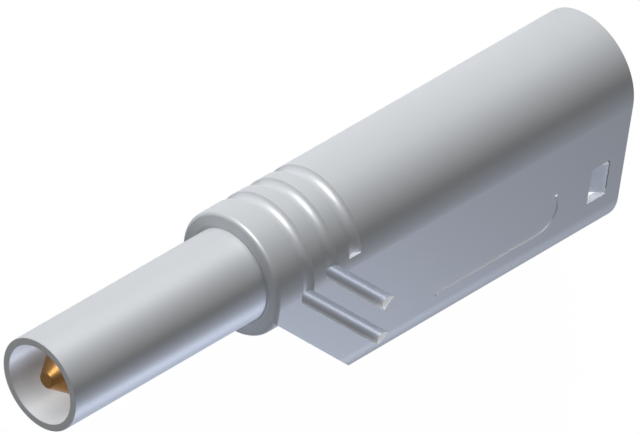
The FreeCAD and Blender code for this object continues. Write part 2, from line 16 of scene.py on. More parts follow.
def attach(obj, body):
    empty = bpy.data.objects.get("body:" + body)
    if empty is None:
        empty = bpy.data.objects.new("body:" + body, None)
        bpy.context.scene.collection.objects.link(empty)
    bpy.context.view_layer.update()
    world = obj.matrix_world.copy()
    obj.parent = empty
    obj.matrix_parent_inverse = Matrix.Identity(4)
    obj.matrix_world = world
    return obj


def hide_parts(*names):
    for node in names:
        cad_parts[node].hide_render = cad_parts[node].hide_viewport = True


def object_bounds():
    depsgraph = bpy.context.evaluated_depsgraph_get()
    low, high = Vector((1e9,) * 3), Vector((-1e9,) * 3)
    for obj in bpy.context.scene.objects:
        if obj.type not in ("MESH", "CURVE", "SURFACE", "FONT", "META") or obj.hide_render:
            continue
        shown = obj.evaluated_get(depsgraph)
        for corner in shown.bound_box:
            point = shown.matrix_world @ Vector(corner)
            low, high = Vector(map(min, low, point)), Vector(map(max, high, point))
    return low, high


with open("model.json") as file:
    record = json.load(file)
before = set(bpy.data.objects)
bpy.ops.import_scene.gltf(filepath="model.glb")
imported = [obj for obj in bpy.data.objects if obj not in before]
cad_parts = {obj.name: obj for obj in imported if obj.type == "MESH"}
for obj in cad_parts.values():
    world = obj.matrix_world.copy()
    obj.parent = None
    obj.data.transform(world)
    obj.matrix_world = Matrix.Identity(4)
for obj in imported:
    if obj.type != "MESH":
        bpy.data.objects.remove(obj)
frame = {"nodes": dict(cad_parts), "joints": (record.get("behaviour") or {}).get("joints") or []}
cad_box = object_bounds()
MM = 0.001
print("pieces in the frame:", sorted(frame["nodes"]))

# %% [markdown]
# The plug lies on the flat side of its wing, turned about its own axis. The screw's joint gives that turn:
# the screw moves up the plug. With the plug's own three directions as vectors, the rest of the lesson can
# say where things are as a maker would: along the axis, towards the near side and towards the round top.
# A second helper measures how far a piece of the frame reaches along such a direction, so the finer pieces
# below take their ends from the frame and nothing has to be typed twice.

# %% Directions of the plug
REARWARD = Vector((1, 0, 0))
TOPWARD = Vector(frame["joints"][0]["axis"]).normalized()
NEARWARD = REARWARD.cross(TOPWARD)


def plug_point(x, near=0.0, top=0.0):
    """Give a point from its place on the axis, towards the near side and towards the top, in millimetres."""
    return (REARWARD * x + NEARWARD * near + TOPWARD * top) * MM


def reach(node, direction):
    """Give the lowest and highest place of a node of the frame along a direction, in millimetres."""
    places = [vertex.co.dot(direction) / MM for vertex in frame["nodes"][node].data.vertices]
    return min(places), max(places)


print("top of the plug points to", tuple(round(value, 3) for value in TOPWARD))
print("grip reaches from", [round(place, 2) for place in reach("housing", REARWARD)], "mm along the axis")

# %% [markdown]
# The photograph looks from equal angles to the plug's axis, near side and top, with almost no perspective.
# An orthographic camera would have none at all, but a long lens far away comes very near to that and is
# still a real camera. Its frame is 49.42 mm wide at the plug, and the plug's top is up in the picture.

# %% Camera
LENS = 1150.0
SENSOR_WIDTH = 36.0
NEAREST = 0.1
FARTHEST = 10.0
VIEW_WIDTH = 49.42 * MM
AIM = plug_point(10.14, near=-0.35, top=0.24)


def make_camera():
    """Look at the plug from the front, its near side and above, as the photograph does."""
    towards_camera = (-REARWARD + NEARWARD + TOPWARD).normalized()
    side = TOPWARD.cross(towards_camera).normalized()
    up = towards_camera.cross(side)
    data = bpy.data.cameras.new("camera")
    data.lens = LENS
    data.sensor_width = SENSOR_WIDTH
    distance = VIEW_WIDTH * LENS / SENSOR_WIDTH
    data.clip_start = NEAREST
    data.clip_end = FARTHEST
    camera = bpy.data.objects.new("camera", data)
    turn = Matrix((side, up, towards_camera)).transposed().to_4x4()
    camera.matrix_world = Matrix.Translation(AIM + towards_camera * distance) @ turn
    bpy.context.scene.collection.objects.link(camera)
    bpy.context.scene.camera = camera
    return towards_camera


TOWARDS_CAMERA = make_camera()
bpy.context.scene.view_settings.view_transform = "Standard"
print("camera looks along", tuple(round(-value, 3) for value in TOWARDS_CAMERA))

# %% [markdown]
# Each material is a small tree of shader nodes. Typed out node by node it would fill pages, so three helpers
# keep the trees short: one adds a node and sets or links its sockets, one spreads a value over a range, and
# one starts a material and gives back its tree and its surface shader.

# %% Node helpers


def add_node(tree, kind, settings=None, **sockets):
    """Add a node, set its properties, and set or link its sockets by name."""
    node = tree.nodes.new(kind)
    for key, value in (settings or {}).items():
        setattr(node, key, value)
    for name, value in sockets.items():
        socket = node.inputs[name.replace("_", " ")]
        if isinstance(value, bpy.types.NodeSocket):
            tree.links.new(value, socket)
        else:
            socket.default_value = value
    return node


def spread(tree, value, lowest, highest):
    """Spread a value between 0 and 1 over a range."""
    node = add_node(tree, "ShaderNodeMapRange", Value=value, To_Min=lowest, To_Max=highest)
    return node.outputs["Result"]


def start_material(name):
    """Make an empty material with its output and one Principled shader."""
    material = bpy.data.materials.new(name)
    material.use_nodes = True
    tree = material.node_tree
    tree.nodes.clear()
    shader = tree.nodes.new("ShaderNodeBsdfPrincipled")
    output = tree.nodes.new("ShaderNodeOutputMaterial")
    tree.links.new(shader.outputs["BSDF"], output.inputs["Surface"])
    return material, tree, shader


# %% [markdown]
# The photograph's page is white. More light would give a white floor too, but it would bleach the plug, so
# the whiteness comes from the nodes of the floor and the world, which ask the Light Path node what kind of
# ray meets them. Rays from the camera, and through glass, see a white glow. Mirrored rays see a little of
# it, so that metal shows the page. All other light meets plain paint or a dim room.

# %% What sees the white page
WHITE = (1.0, 1.0, 1.0)
MIRRORED = 0.08


def seen_directly(tree):
    """Give 1 for rays from the camera or through glass, little for mirrored rays, and 0 for other light."""
    path = tree.nodes.new("ShaderNodeLightPath")
    mirrored = add_node(tree, "ShaderNodeMath", {"operation": "MULTIPLY"})
    tree.links.new(path.outputs["Is Glossy Ray"], mirrored.inputs[0])
    mirrored.inputs[1].default_value = MIRRORED
    clear = add_node(tree, "ShaderNodeMath", {"operation": "MAXIMUM"})
    tree.links.new(path.outputs["Is Camera Ray"], clear.inputs[0])
    tree.links.new(path.outputs["Is Transmission Ray"], clear.inputs[1])
    either = add_node(tree, "ShaderNodeMath", {"operation": "MAXIMUM"})
    tree.links.new(clear.outputs[0], either.inputs[0])
    tree.links.new(mirrored.outputs[0], either.inputs[1])
    return either.outputs[0]


# %% [markdown]
# The floor is a plane in matt paint at the plug's lowest point. To the camera it is mostly the even glow,
# and the rest is the paint, which keeps the plug's soft shadow. A studio often has a backdrop that curves up
# from the floor, but here the view looks down so far that the floor fills it.

# %% Floor
FLOOR_SIZE = 8.0
FLOOR_COLOUR = (0.86, 0.86, 0.86, 1.0)
GLOW_SHARE = 0.92
GLOW = 1.065


def make_floor(height):
    """Lay a large plane under the plug."""
    half = FLOOR_SIZE / 2
    mesh = bpy.data.meshes.new("floor")
    corners = [(-half, -half, height), (half, -half, height), (half, half, height), (-half, half, height)]
    mesh.from_pydata(corners, [], [(0, 1, 2, 3)])
    floor = bpy.data.objects.new("floor", mesh)
    bpy.context.scene.collection.objects.link(floor)
    material = bpy.data.materials.new("pale_floor")
    material.use_nodes = True
    tree = material.node_tree
    tree.nodes.clear()
    matt = add_node(tree, "ShaderNodeBsdfDiffuse", Color=FLOOR_COLOUR)
    page = add_node(tree, "ShaderNodeEmission", Color=(*WHITE, 1), Strength=GLOW)
    share = add_node(tree, "ShaderNodeMath", {"operation": "MULTIPLY"})
    tree.links.new(seen_directly(tree), share.inputs[0])
    share.inputs[1].default_value = GLOW_SHARE
    mix = tree.nodes.new("ShaderNodeMixShader")
    tree.links.new(share.outputs[0], mix.inputs[0])
    tree.links.new(matt.outputs[0], mix.inputs[1])
    tree.links.new(page.outputs[0], mix.inputs[2])
    output = tree.nodes.new("ShaderNodeOutputMaterial")
    tree.links.new(mix.outputs[0], output.inputs["Surface"])
    mesh.materials.append(material)
    return floor


floor = make_floor(cad_box[0].z)
print("floor at a height of", round(cad_box[0].z / MM, 2), "mm")

# %% [markdown]
# The world is the room's light, which comes from everywhere. A picture of a studio could stand in for it,
# but an even light is enough round a matt plug. It is dim, so that the lamps shape the plug, and white to
# the camera, so that no dark horizon shows in a low view.

# %% World
AMBIENT = 0.15


def make_world():
    """Surround the scene with a dim even light that the camera sees as white."""
    world = bpy.data.worlds.new("studio")
    world.use_nodes = True
    tree = world.node_tree
    tree.nodes.clear()
    strength = spread(tree, seen_directly(tree), AMBIENT, 1.0)
    background = tree.nodes.new("ShaderNodeBackground")
    background.inputs["Color"].default_value = (*WHITE, 1)
    tree.links.new(strength, background.inputs["Strength"])
    output = tree.nodes.new("ShaderNodeOutputWorld")
    tree.links.new(background.outputs[0], output.inputs["Surface"])
    bpy.context.scene.world = world


make_world()
print("room light is", AMBIENT, "of white")

# %% [markdown]
# The photograph's light has two parts. Tone is the broad, matt light that makes the plug look round, and
# gloss is the lamps' soft mirror image in the satin plastic. One large lamp would give both at once. Here
# each lamp on the plug gives only one of them, so each can be set against the photograph by itself.

# %% One lamp


def make_lamp(name, aim, direction, distance, width, power, colour, gives):
    """Aim a round area lamp at a point, from a direction and a distance in millimetres."""
    data = bpy.data.lights.new(name, "AREA")
    data.shape = "DISK"
    data.size = width * MM
    data.energy = power
    data.color = colour
    lamp = bpy.data.objects.new(name, data)
    lamp.location = aim + direction.normalized() * distance * MM
    lamp.visible_camera = False
    lamp.visible_diffuse = gives != "gloss"
    lamp.visible_glossy = gives != "tone"
    lamp.rotation_mode = "QUATERNION"
    lamp.rotation_quaternion = direction.to_track_quat("Z", "Y")
    bpy.context.scene.collection.objects.link(lamp)
    return lamp


# %% [markdown]
# Tone comes from a white key above the plug and a little beyond it, and from a blue fill below, with the
# darkest band between them. Glints from above brighten the rear walls of the grooves and the collar's edge,
# and a low one draws a blue line down the troughs. It stands near the plug, so its gloss fades along the
# wing. The floor has a lamp of its own, and the plug casts its soft shadow there. The lamps stand in a
# table, because that is easier to read and to change than one call after another.

# %% Lamps
FAR = 800
CLOSE = 150
BLUE = (0.72, 0.80, 1.0)
MIDDLE = plug_point(10)
KEY_DIRECTION = -REARWARD * 0.057 - NEARWARD * 0.307 + TOPWARD * 0.945
FILL_DIRECTION = NEARWARD * 0.309 - TOPWARD * 0.951
FORWARD_DIRECTION = -REARWARD * 0.25 + NEARWARD * 0.10 + TOPWARD * 0.96
TOP_DIRECTION = REARWARD * 0.014 + NEARWARD * 0.05 + TOPWARD
LOW_DIRECTION = REARWARD * 0.40 + NEARWARD * 0.40 - TOPWARD * 0.82

# Each lamp has its direction, distance, width, power, colour and what it gives.
LAMPS = {
    "key": (KEY_DIRECTION, FAR, 180, 4.8, WHITE, "tone"),
    "grip_fill": (FILL_DIRECTION, FAR, 180, 2.1, BLUE, "tone"),
    "insert_fill": (FILL_DIRECTION, FAR, 180, 4.9, BLUE, "tone"),
    "grip_glint": (FORWARD_DIRECTION, FAR, 250, 8.0, WHITE, "gloss"),
    "insert_glint": (TOP_DIRECTION, FAR, 300, 5.9, WHITE, "gloss"),
    "low_glint": (LOW_DIRECTION, CLOSE, 22, 0.054, BLUE, "gloss"),
    "floor_key": (TOP_DIRECTION, FAR, 360, 5.0, WHITE, "both"),
}
lamps = {}
for lamp_name, lamp_values in LAMPS.items():
    lamps[lamp_name] = make_lamp(lamp_name, MIDDLE, *lamp_values)
    print(lamp_name, "gives", lamp_values[-1], "with", lamp_values[3], "W")

# %% [markdown]
# Pockets, such as the inside of the mouth and the latch windows, see little of the room, and here shade is
# also painted into their colour. Dark paint in each pocket would need masks. The Ambient Occlusion node finds
# them by itself, because it says how open each point is. Open points keep the full colour, and the more a
# point is closed in, the nearer its colour comes to the painted nook shade.

# %% Painted shade in pockets
NOOK_REACH = 5.0 * MM
PAINTED_NOOK_SHADE = 0.3
NOOK_SAMPLES = 8


def painted_nook_shade(tree, open_from):
    """Give 1 at points more open than open_from, and less down to the painted nook shade at closed ones."""
    nook = tree.nodes.new("ShaderNodeAmbientOcclusion")
    nook.samples = NOOK_SAMPLES
    nook.inputs["Distance"].default_value = NOOK_REACH
    share = add_node(tree, "ShaderNodeMapRange", Value=nook.outputs["AO"], From_Max=open_from,
                     To_Min=PAINTED_NOOK_SHADE, To_Max=1.0)
    return share.outputs["Result"]


# %% [markdown]
# Moulded polyamide is satin, never flat: the mould's fine sparked grain breaks up its gloss, and the colour
# drifts a little. Both come from noise on Object coordinates, in metres, so a grain of 0.06 mm is a scale of
# one over that. A picture of grain would need seams and an unwrapped mesh, and noise needs neither.

# %% Moulded plastic
GRAIN = 0.06 * MM
DRIFT = 9.0 * MM
COLOUR_SPREAD = 0.03
GLOSS_SPREAD = 0.05
GRAIN_HEIGHT = 0.004 * MM
GRAIN_STRENGTH = 0.12
PLASTIC_IOR = 1.9


def plastic(name, colour, roughness, open_from):
    """Make a satin moulded plastic with a fine grain, a slight drift of colour and painted shade in its
    pockets.
    """
    material, tree, shader = start_material(name)
    place = tree.nodes.new("ShaderNodeTexCoord").outputs["Object"]
    drift = add_node(tree, "ShaderNodeTexNoise", Vector=place, Scale=1 / DRIFT, Detail=2.0)
    # The colour drifts at random and is darkened in pockets by painted shade.
    both = add_node(tree, "ShaderNodeMath", {"operation": "MULTIPLY"})
    tint = spread(tree, drift.outputs["Fac"], 1 - COLOUR_SPREAD, 1 + COLOUR_SPREAD)
    tree.links.new(tint, both.inputs[0])
    tree.links.new(painted_nook_shade(tree, open_from), both.inputs[1])
    shade = add_node(tree, "ShaderNodeVectorMath", {"operation": "SCALE"})
    shade.inputs[0].default_value = colour
    tree.links.new(both.outputs[0], shade.inputs["Scale"])
    tree.links.new(shade.outputs[0], shader.inputs["Base Color"])
    grain = add_node(tree, "ShaderNodeTexNoise", Vector=place, Scale=1 / GRAIN, Detail=3.0)
    gloss = spread(tree, grain.outputs["Fac"], roughness - GLOSS_SPREAD, roughness + GLOSS_SPREAD)
    tree.links.new(gloss, shader.inputs["Roughness"])
    bump = add_node(tree, "ShaderNodeBump", Height=grain.outputs["Fac"], Strength=GRAIN_STRENGTH,
                    Distance=GRAIN_HEIGHT)
    tree.links.new(bump.outputs["Normal"], shader.inputs["Normal"])
    shader.inputs["IOR"].default_value = PLASTIC_IOR
    shader.inputs["Specular IOR Level"].default_value = 1.0
    return material


# %% [markdown]
# Grip and insert are the same grey. The insert's tube and channel are deeper than the grip's pockets, so its
# painted shade starts at a higher share of openness. The guard is a little darker and smoother, as a piece
# from another mould may be.

# %% The three plastics
GREY = (0.66, 0.69, 0.72)
DARKER_GREY = (0.62, 0.64, 0.67)
grip_plastic = plastic("grip_polyamide", GREY, 0.5, open_from=0.5)
insert_plastic = plastic("insert_polyamide", GREY, 0.5, open_from=0.7)
guard_plastic = plastic("guard_polyamide", DARKER_GREY, 0.44, open_from=0.7)
print("plastics:", [material.name for material in (grip_plastic, insert_plastic, guard_plastic)])

# %% [markdown]
# Turned brass keeps fine rings from the tool, and so do the other metals here. Real grooves would be far too
# many faces, so the rings are bump: a wave along the axis, broken up by a little noise. A second noise lets
# the gloss vary, as handling does. At a scale of one, the Wave Texture repeats 20 times in 2 pi units, so
# that length over the rings' pitch is the scale.

# %% Metals
WAVE_PERIOD = 2 * math.pi / 20
WAVER = 1.5
STAIN = 1.2 * MM
MARK_HEIGHT = 0.003 * MM
MARK_STRENGTH = 0.25
POLISHED = 0.06
WORN = 0.08


def turned_metal(name, colour, roughness, pitch):
    """Make a turned metal whose tool marks run round the plug's axis."""
    material, tree, shader = start_material(name)
    place = tree.nodes.new("ShaderNodeTexCoord").outputs["Object"]
    marks = add_node(tree, "ShaderNodeTexWave", Vector=place, Scale=WAVE_PERIOD / pitch, Distortion=WAVER,
                     Detail=2.0)
    stain = add_node(tree, "ShaderNodeTexNoise", Vector=place, Scale=1 / STAIN, Detail=3.0)
    gloss = spread(tree, stain.outputs["Fac"], roughness - POLISHED, roughness + WORN)
    tree.links.new(gloss, shader.inputs["Roughness"])
    bump = add_node(tree, "ShaderNodeBump", Height=marks.outputs["Fac"], Strength=MARK_STRENGTH,
                    Distance=MARK_HEIGHT)
    tree.links.new(bump.outputs["Normal"], shader.inputs["Normal"])
    shader.inputs["Base Color"].default_value = (*colour, 1)
    shader.inputs["Metallic"].default_value = 1.0
    return material


contact_brass = turned_metal("turned_brass", (0.40, 0.21, 0.07), 0.36, pitch=0.377 * MM)
spring_metal = turned_metal("spring_alloy", (0.82, 0.56, 0.28), 0.30, pitch=0.565 * MM)
terminal_brass = turned_metal("milled_brass", (0.74, 0.58, 0.30), 0.38, pitch=0.503 * MM)
screw_steel = turned_metal("plated_steel", (0.62, 0.63, 0.65), 0.32, pitch=0.503 * MM)
metals = (contact_brass, spring_metal, terminal_brass, screw_steel)
print("metals:", [material.name for material in metals])

# %% [markdown]
# The housing and the insert are injection mouldings with grooves, windows and ribs. The frame's own meshes
# already have every one of those forms, so they stay, and building them again here could only bring
# mistakes. Each gets its finish in its material slot.

# %% Finish the mouldings
housing = frame["nodes"]["housing"]
carrier = frame["nodes"]["carrier"]
for moulding, material in ((housing, grip_plastic), (carrier, insert_plastic)):
    slots = moulding.data.materials
    slots.clear()
    slots.append(material)
    print(moulding.name, "is finished in", material.name)

# %% [markdown]
# The contact and the guard are round, so their form is one outline spun about the axis. The frame's contact
# has knife-sharp corners. Here each corner of the outline is first cut back and rounded a little, as a
# turner breaks an edge, with one more point on each side that keeps the flats flat. A Bevel modifier could
# do it afterwards, but on the outline it takes a few lines and leaves clean, even rings.

# %% Breaking the corners of an outline
ON_AXIS = 1e-6
SHORTEST_EDGE = 1e-4
CORNER_SHARE = 0.35
FLAT_KEEPER = 1.3


def soften(outline, size, steps=4):
    """Break each corner of an outline of (along, out) points, except on the axis."""
    softened = []
    for index, corner in enumerate(outline):
        here = Vector(corner)
        before = Vector(outline[index - 1]) - here
        after = Vector(outline[(index + 1) % len(outline)]) - here
        cut = min(size, CORNER_SHARE * before.length, CORNER_SHARE * after.length)
        if here.y < ON_AXIS or cut < SHORTEST_EDGE:
            softened.append(here)
            continue
        start = here + before.normalized() * cut
        end = here + after.normalized() * cut
        softened.append(here + before.normalized() * cut * FLAT_KEEPER)
        for step in range(steps + 1):
            t = step / steps
            softened.append(start * (1 - t) ** 2 + here * 2 * t * (1 - t) + end * t * t)
        softened.append(here + after.normalized() * cut * FLAT_KEEPER)
    return softened


# %% [markdown]
# The outline is spun as on a lathe: each of its points becomes a ring, and neighbouring rings are joined by
# faces. A Screw modifier spins outlines too, but here a point on the axis stays one point, so the tips are
# closed. The mesh is made in millimetres along x, and one matrix then turns it to the plug's own directions
# and to metres.

# %% Spinning an outline
LATHE_SIDES = 96
PLUG_AXES = Matrix((REARWARD, -NEARWARD, TOPWARD)).transposed().to_4x4()


def spin_outline(outline):
    """Spin a closed outline in millimetres about the plug's axis into a closed mesh, in metres."""
    shape = bmesh.new()
    rings = []
    for along, out in outline:
        count = 1 if out < ON_AXIS else LATHE_SIDES
        turns = [2 * math.pi * side / count for side in range(count)]
        places = [(along, out * math.sin(turn), out * math.cos(turn)) for turn in turns]
        rings.append([shape.verts.new(place) for place in places])
    for index, ring in enumerate(rings):
        other = rings[(index + 1) % len(rings)]
        if len(ring) == 1 and len(other) == 1:
            continue
        for side in range(LATHE_SIDES):
            after = (side + 1) % LATHE_SIDES
            corners = [ring[side % len(ring)], ring[after % len(ring)],
                       other[after % len(other)], other[side % len(other)]]
            shape.faces.new(list(dict.fromkeys(corners)))
    bmesh.ops.recalc_face_normals(shape, faces=shape.faces)
    shape.transform(PLUG_AXES @ Matrix.Scale(MM, 4))
    mesh = bpy.data.meshes.new("turned")
    shape.to_mesh(mesh)
    shape.free()
    return mesh


# %% [markdown]
# Each finer piece ends in the same way. It is shaded smooth with its real edges kept sharp, gets its
# material, is attached to the body it rides on, and the node of the frame that it replaces is hidden. One
# function for all of them means that no piece misses a step.

# %% Showing a piece
SHARP_ANGLE = math.radians(38)


def show_piece(name, mesh, material, body, node):
    """Show a mesh as a finished piece of a body, in place of a node of the frame."""
    mesh.materials.clear()
    mesh.materials.append(material)
    mesh.shade_smooth()
    mesh.set_sharp_from_angle(angle=SHARP_ANGLE)
    piece = bpy.data.objects.new(name, mesh)
    bpy.context.scene.collection.objects.link(piece)
    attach(piece, body)
    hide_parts(node)
    print(name, "has", len(mesh.polygons), "faces")
    return piece


# %% [markdown]
# From front to back the contact has its nose, with a small flat tip; the seat that carries the spring cage;
# the shank; a fine undercut where the tool left the shoulder; and the rear socket with its flared mouth and
# the drill's cone at its floor. It could be put together from tubes and cones, but it is one turned piece,
# and one outline leaves no faces hidden inside. Its ends, its seat and its shoulder come from the frame.

# %% Contact
NOSE, SOCKET_END = reach("contact_body", REARWARD)
CAGE_START, CAGE_END = reach("contact_spring", REARWARD)
SHOULDER, GUARD_END = reach("socket_guard", REARWARD)
SEAT_PLAY = 0.05
SEAT = CAGE_START - SEAT_PLAY
SEAT_END = CAGE_END + SEAT_PLAY
NOSE_FLAT = 0.66
NOSE_RADIUS = 1.95
NOSE_LAND = 0.6
SEAT_RADIUS = 1.45
SHANK_RADIUS = 2.0
UNDERCUT_RADIUS = 1.9
UNDERCUT_LENGTH = 0.3
UNDERCUT_SLOPE = 0.05
BARREL_RADIUS = 2.55
SOCKET_RADIUS = 2.025
SOCKET_CHAMFER = 0.25
SOCKET_FLOOR = 19.1
DRILL_CONE = 0.35
CONTACT_EDGE = 0.07

contact_outline = [
    (NOSE, 0.0), (NOSE, NOSE_FLAT), (SEAT - NOSE_LAND, NOSE_RADIUS), (SEAT, NOSE_RADIUS),
    (SEAT, SEAT_RADIUS), (SEAT_END, SEAT_RADIUS), (SEAT_END, SHANK_RADIUS),
    (SHOULDER - UNDERCUT_LENGTH - UNDERCUT_SLOPE, SHANK_RADIUS),
    (SHOULDER - UNDERCUT_LENGTH, UNDERCUT_RADIUS), (SHOULDER, UNDERCUT_RADIUS),
    (SHOULDER, BARREL_RADIUS), (SOCKET_END, BARREL_RADIUS),
    (SOCKET_END, SOCKET_RADIUS + SOCKET_CHAMFER), (SOCKET_END - SOCKET_CHAMFER, SOCKET_RADIUS),
    (SOCKET_FLOOR, SOCKET_RADIUS), (SOCKET_FLOOR + DRILL_CONE, 0.0),
]
contact = show_piece("contact", spin_outline(soften(contact_outline, CONTACT_EDGE)), contact_brass,
                     "plug", "contact_body")
print("contact is", round(SOCKET_END - NOSE, 2), "mm long")

# %% [markdown]
# The guard is a plain insulating tube round the socket, with a lip that covers the metal's end, so no finger
# touches it. A cylinder with a Solidify modifier would have no lip, and the outline makes both at once. Its
# rims are rounded, because a stacked plug slides in over them.

# %% Guard
GUARD_OUTER = reach("socket_guard", TOPWARD)[1]
GUARD_BORE = 2.6
LIP_BORE = 2.15
LIP_START = SOCKET_END + 0.05
GUARD_EDGE = 0.12

guard_outline = [
    (SHOULDER, GUARD_BORE), (SHOULDER, GUARD_OUTER), (GUARD_END, GUARD_OUTER),
    (GUARD_END, LIP_BORE), (LIP_START, LIP_BORE), (LIP_START, GUARD_BORE),
]
guard = show_piece("guard", spin_outline(soften(guard_outline, GUARD_EDGE)), guard_plastic,
                   "plug", "socket_guard")

# %% [markdown]
# The cage is punched and rolled from thin strip: two plain rings joined by bars that bow outwards and press
# on the socket. The bars repeat, so Geometry Nodes make them. Modifiers for array, bend and solidify could
# do it too, but a tree takes the number of bars, the slot and the bow as inputs, and its steps follow the
# real press. The screw gets a tree as well, so the lines that both need are helpers.

# %% Building a node tree


def start_tree(name, inputs):
    """Start a geometry tree with named inputs, and give back the tree and its input node's outputs."""
    tree = bpy.data.node_groups.new(name, "GeometryNodeTree")
    for label, kind in inputs.items():
        tree.interface.new_socket(label, in_out="INPUT", socket_type=f"NodeSocket{kind}")
    tree.interface.new_socket("Geometry", in_out="OUTPUT", socket_type="NodeSocketGeometry")
    return tree, tree.nodes.new("NodeGroupInput").outputs


def calculate(tree, operation, first, second=0.0):
    """Add one step of arithmetic between numbers or sockets."""
    node = tree.nodes.new("ShaderNodeMath")
    node.operation = operation
    for socket, value in zip(node.inputs, (first, second)):
        if isinstance(value, bpy.types.NodeSocket):
            tree.links.new(value, socket)
        else:
            socket.default_value = value
    return node.outputs[0]


def finish_tree(tree, geometry, material):
    """End a tree: make copies real, set the material and put the result out."""
    real = add_node(tree, "GeometryNodeRealizeInstances", Geometry=geometry)
    dressed = add_node(tree, "GeometryNodeSetMaterial", Geometry=real.outputs[0], Material=material)
    output = tree.nodes.new("NodeGroupOutput")
    tree.links.new(dressed.outputs[0], output.inputs[0])


# %% [markdown]
# A tree works as a modifier. It could stay live on the piece, but the export wants plain meshes, so the tree
# is run on an empty holder, its result is taken as a mesh, and the holder goes. The inputs are set by their
# identifiers, because a modifier doesn't know their names.

# %% Running a node tree


def run_tree(tree, values):
    """Run a tree on an empty mesh with its inputs set, and give back the resulting mesh."""
    holder = bpy.data.objects.new("holder", bpy.data.meshes.new("holder"))
    bpy.context.scene.collection.objects.link(holder)
    modifier = holder.modifiers.new("nodes", "NODES")
    modifier.node_group = tree
    for item in tree.interface.items_tree:
        if item.in_out == "INPUT":
            modifier[item.identifier] = values[item.name]
    evaluated = holder.evaluated_get(bpy.context.evaluated_depsgraph_get())
    mesh = bpy.data.meshes.new_from_object(evaluated)
    bpy.data.objects.remove(holder)
    return mesh


# %% [markdown]
# One share of the strip is a flat grid whose long side lies along the axis. Its short side is a turn in
# radians, so that bending it later is no more than a sine and a cosine. The press first punches the slots:
# the faces beside the bar and between the rings are deleted.

# %% Punching the strip
STEPS_ALONG = 56
STEPS_ROUND = 25


def punch_strip(tree, given, share, along, turn):
    """Make one share of the strip without its slot, and give it back with the place where the slot ends."""
    strip = add_node(tree, "GeometryNodeMeshGrid", Size_X=given["Length"], Size_Y=share,
                     Vertices_X=STEPS_ALONG, Vertices_Y=STEPS_ROUND)
    half = calculate(tree, "MULTIPLY", given["Length"], 0.5)
    slot_end = calculate(tree, "SUBTRACT", half, given["Ring"])
    slot_turn = calculate(tree, "DIVIDE", given["Slot"], given["Inner Radius"])
    bar_turn = calculate(tree, "SUBTRACT", share, slot_turn)
    beside_bar = calculate(tree, "GREATER_THAN", calculate(tree, "ABSOLUTE", turn),
                           calculate(tree, "MULTIPLY", bar_turn, 0.5))
    between_rings = calculate(tree, "LESS_THAN", calculate(tree, "ABSOLUTE", along), slot_end)
    in_slot = calculate(tree, "MULTIPLY", beside_bar, between_rings)
    punched = add_node(tree, "GeometryNodeDeleteGeometry", {"domain": "FACE"},
                       Geometry=strip.outputs["Mesh"], Selection=in_slot)
    return punched.outputs[0], slot_end


# %% [markdown]
# Then the strip is bowed and bent. Each point gets a radius, which rises from the ring to the bar's middle
# in a smooth step, because a formed strip has no kink, and its turn becomes a place on that radius.

# %% Bowing and bending


def bow_and_bend(tree, given, strip, slot_end, along, turn):
    """Lift the bars off the axis and bend the strip round it."""
    rise_end = calculate(tree, "SUBTRACT", slot_end, given["Rise"])
    lift = add_node(tree, "ShaderNodeMapRange", {"interpolation_type": "SMOOTHSTEP"},
                    Value=calculate(tree, "ABSOLUTE", along), From_Min=slot_end, From_Max=rise_end,
                    To_Max=given["Bow"])
    radius = calculate(tree, "ADD", given["Inner Radius"], lift.outputs["Result"])
    place = add_node(tree, "ShaderNodeCombineXYZ", X=along,
                     Y=calculate(tree, "MULTIPLY", radius, calculate(tree, "SINE", turn)),
                     Z=calculate(tree, "MULTIPLY", radius, calculate(tree, "COSINE", turn)))
    bent = add_node(tree, "GeometryNodeSetPosition", Geometry=strip, Position=place.outputs[0])
    return bent.outputs[0]


# %% [markdown]
# The shares go evenly round the axis and are welded to one sheet. The sheet gets its thickness by pushing
# it outwards. A flipped copy closes the inside, so the cage is a solid with all its faces outwards.

# %% Rolling and thickening
WELD = 0.001


def roll_and_thicken(tree, given, share, strip):
    """Turn copies of a share evenly round the axis, weld them and give the sheet its thickness."""
    points = add_node(tree, "GeometryNodePoints", Count=given["Bars"])
    index = tree.nodes.new("GeometryNodeInputIndex").outputs[0]
    turned_by = add_node(tree, "ShaderNodeCombineXYZ", X=calculate(tree, "MULTIPLY", index, share))
    around = add_node(tree, "GeometryNodeInstanceOnPoints", Points=points.outputs[0], Instance=strip,
                      Rotation=turned_by.outputs[0])
    real = add_node(tree, "GeometryNodeRealizeInstances", Geometry=around.outputs[0])
    sheet = add_node(tree, "GeometryNodeMergeByDistance", Geometry=real.outputs[0], Distance=WELD)
    outside = add_node(tree, "GeometryNodeExtrudeMesh", Mesh=sheet.outputs[0], Offset_Scale=given["Sheet"],
                       Individual=False)
    inside = add_node(tree, "GeometryNodeFlipFaces", Mesh=sheet.outputs[0])
    both = tree.nodes.new("GeometryNodeJoinGeometry")
    tree.links.new(outside.outputs["Mesh"], both.inputs[0])
    tree.links.new(inside.outputs[0], both.inputs[0])
    closed = add_node(tree, "GeometryNodeMergeByDistance", Geometry=both.outputs[0], Distance=WELD)
    return closed.outputs[0]


# %% [markdown]
# The three steps make the cage's tree. Its sizes are inputs in millimetres, and its length and its place
# come from the frame, so the cage stays on its seat.

# %% Spring cage


def cage_tree():
    """Put the press's steps together, with the cage's sizes as inputs."""
    tree, given = start_tree("bowed_cage", {
        "Bars": "Int", "Length": "Float", "Ring": "Float", "Inner Radius": "Float", "Sheet": "Float",
        "Slot": "Float", "Rise": "Float", "Bow": "Float", "Material": "Material"})
    share = calculate(tree, "DIVIDE", 2 * math.pi, given["Bars"])
    position = tree.nodes.new("GeometryNodeInputPosition").outputs[0]
    along, turn, _ = add_node(tree, "ShaderNodeSeparateXYZ", Vector=position).outputs
    punched, slot_end = punch_strip(tree, given, share, along, turn)
    bent = bow_and_bend(tree, given, punched, slot_end, along, turn)
    finish_tree(tree, roll_and_thicken(tree, given, share, bent), given["Material"])
    return tree


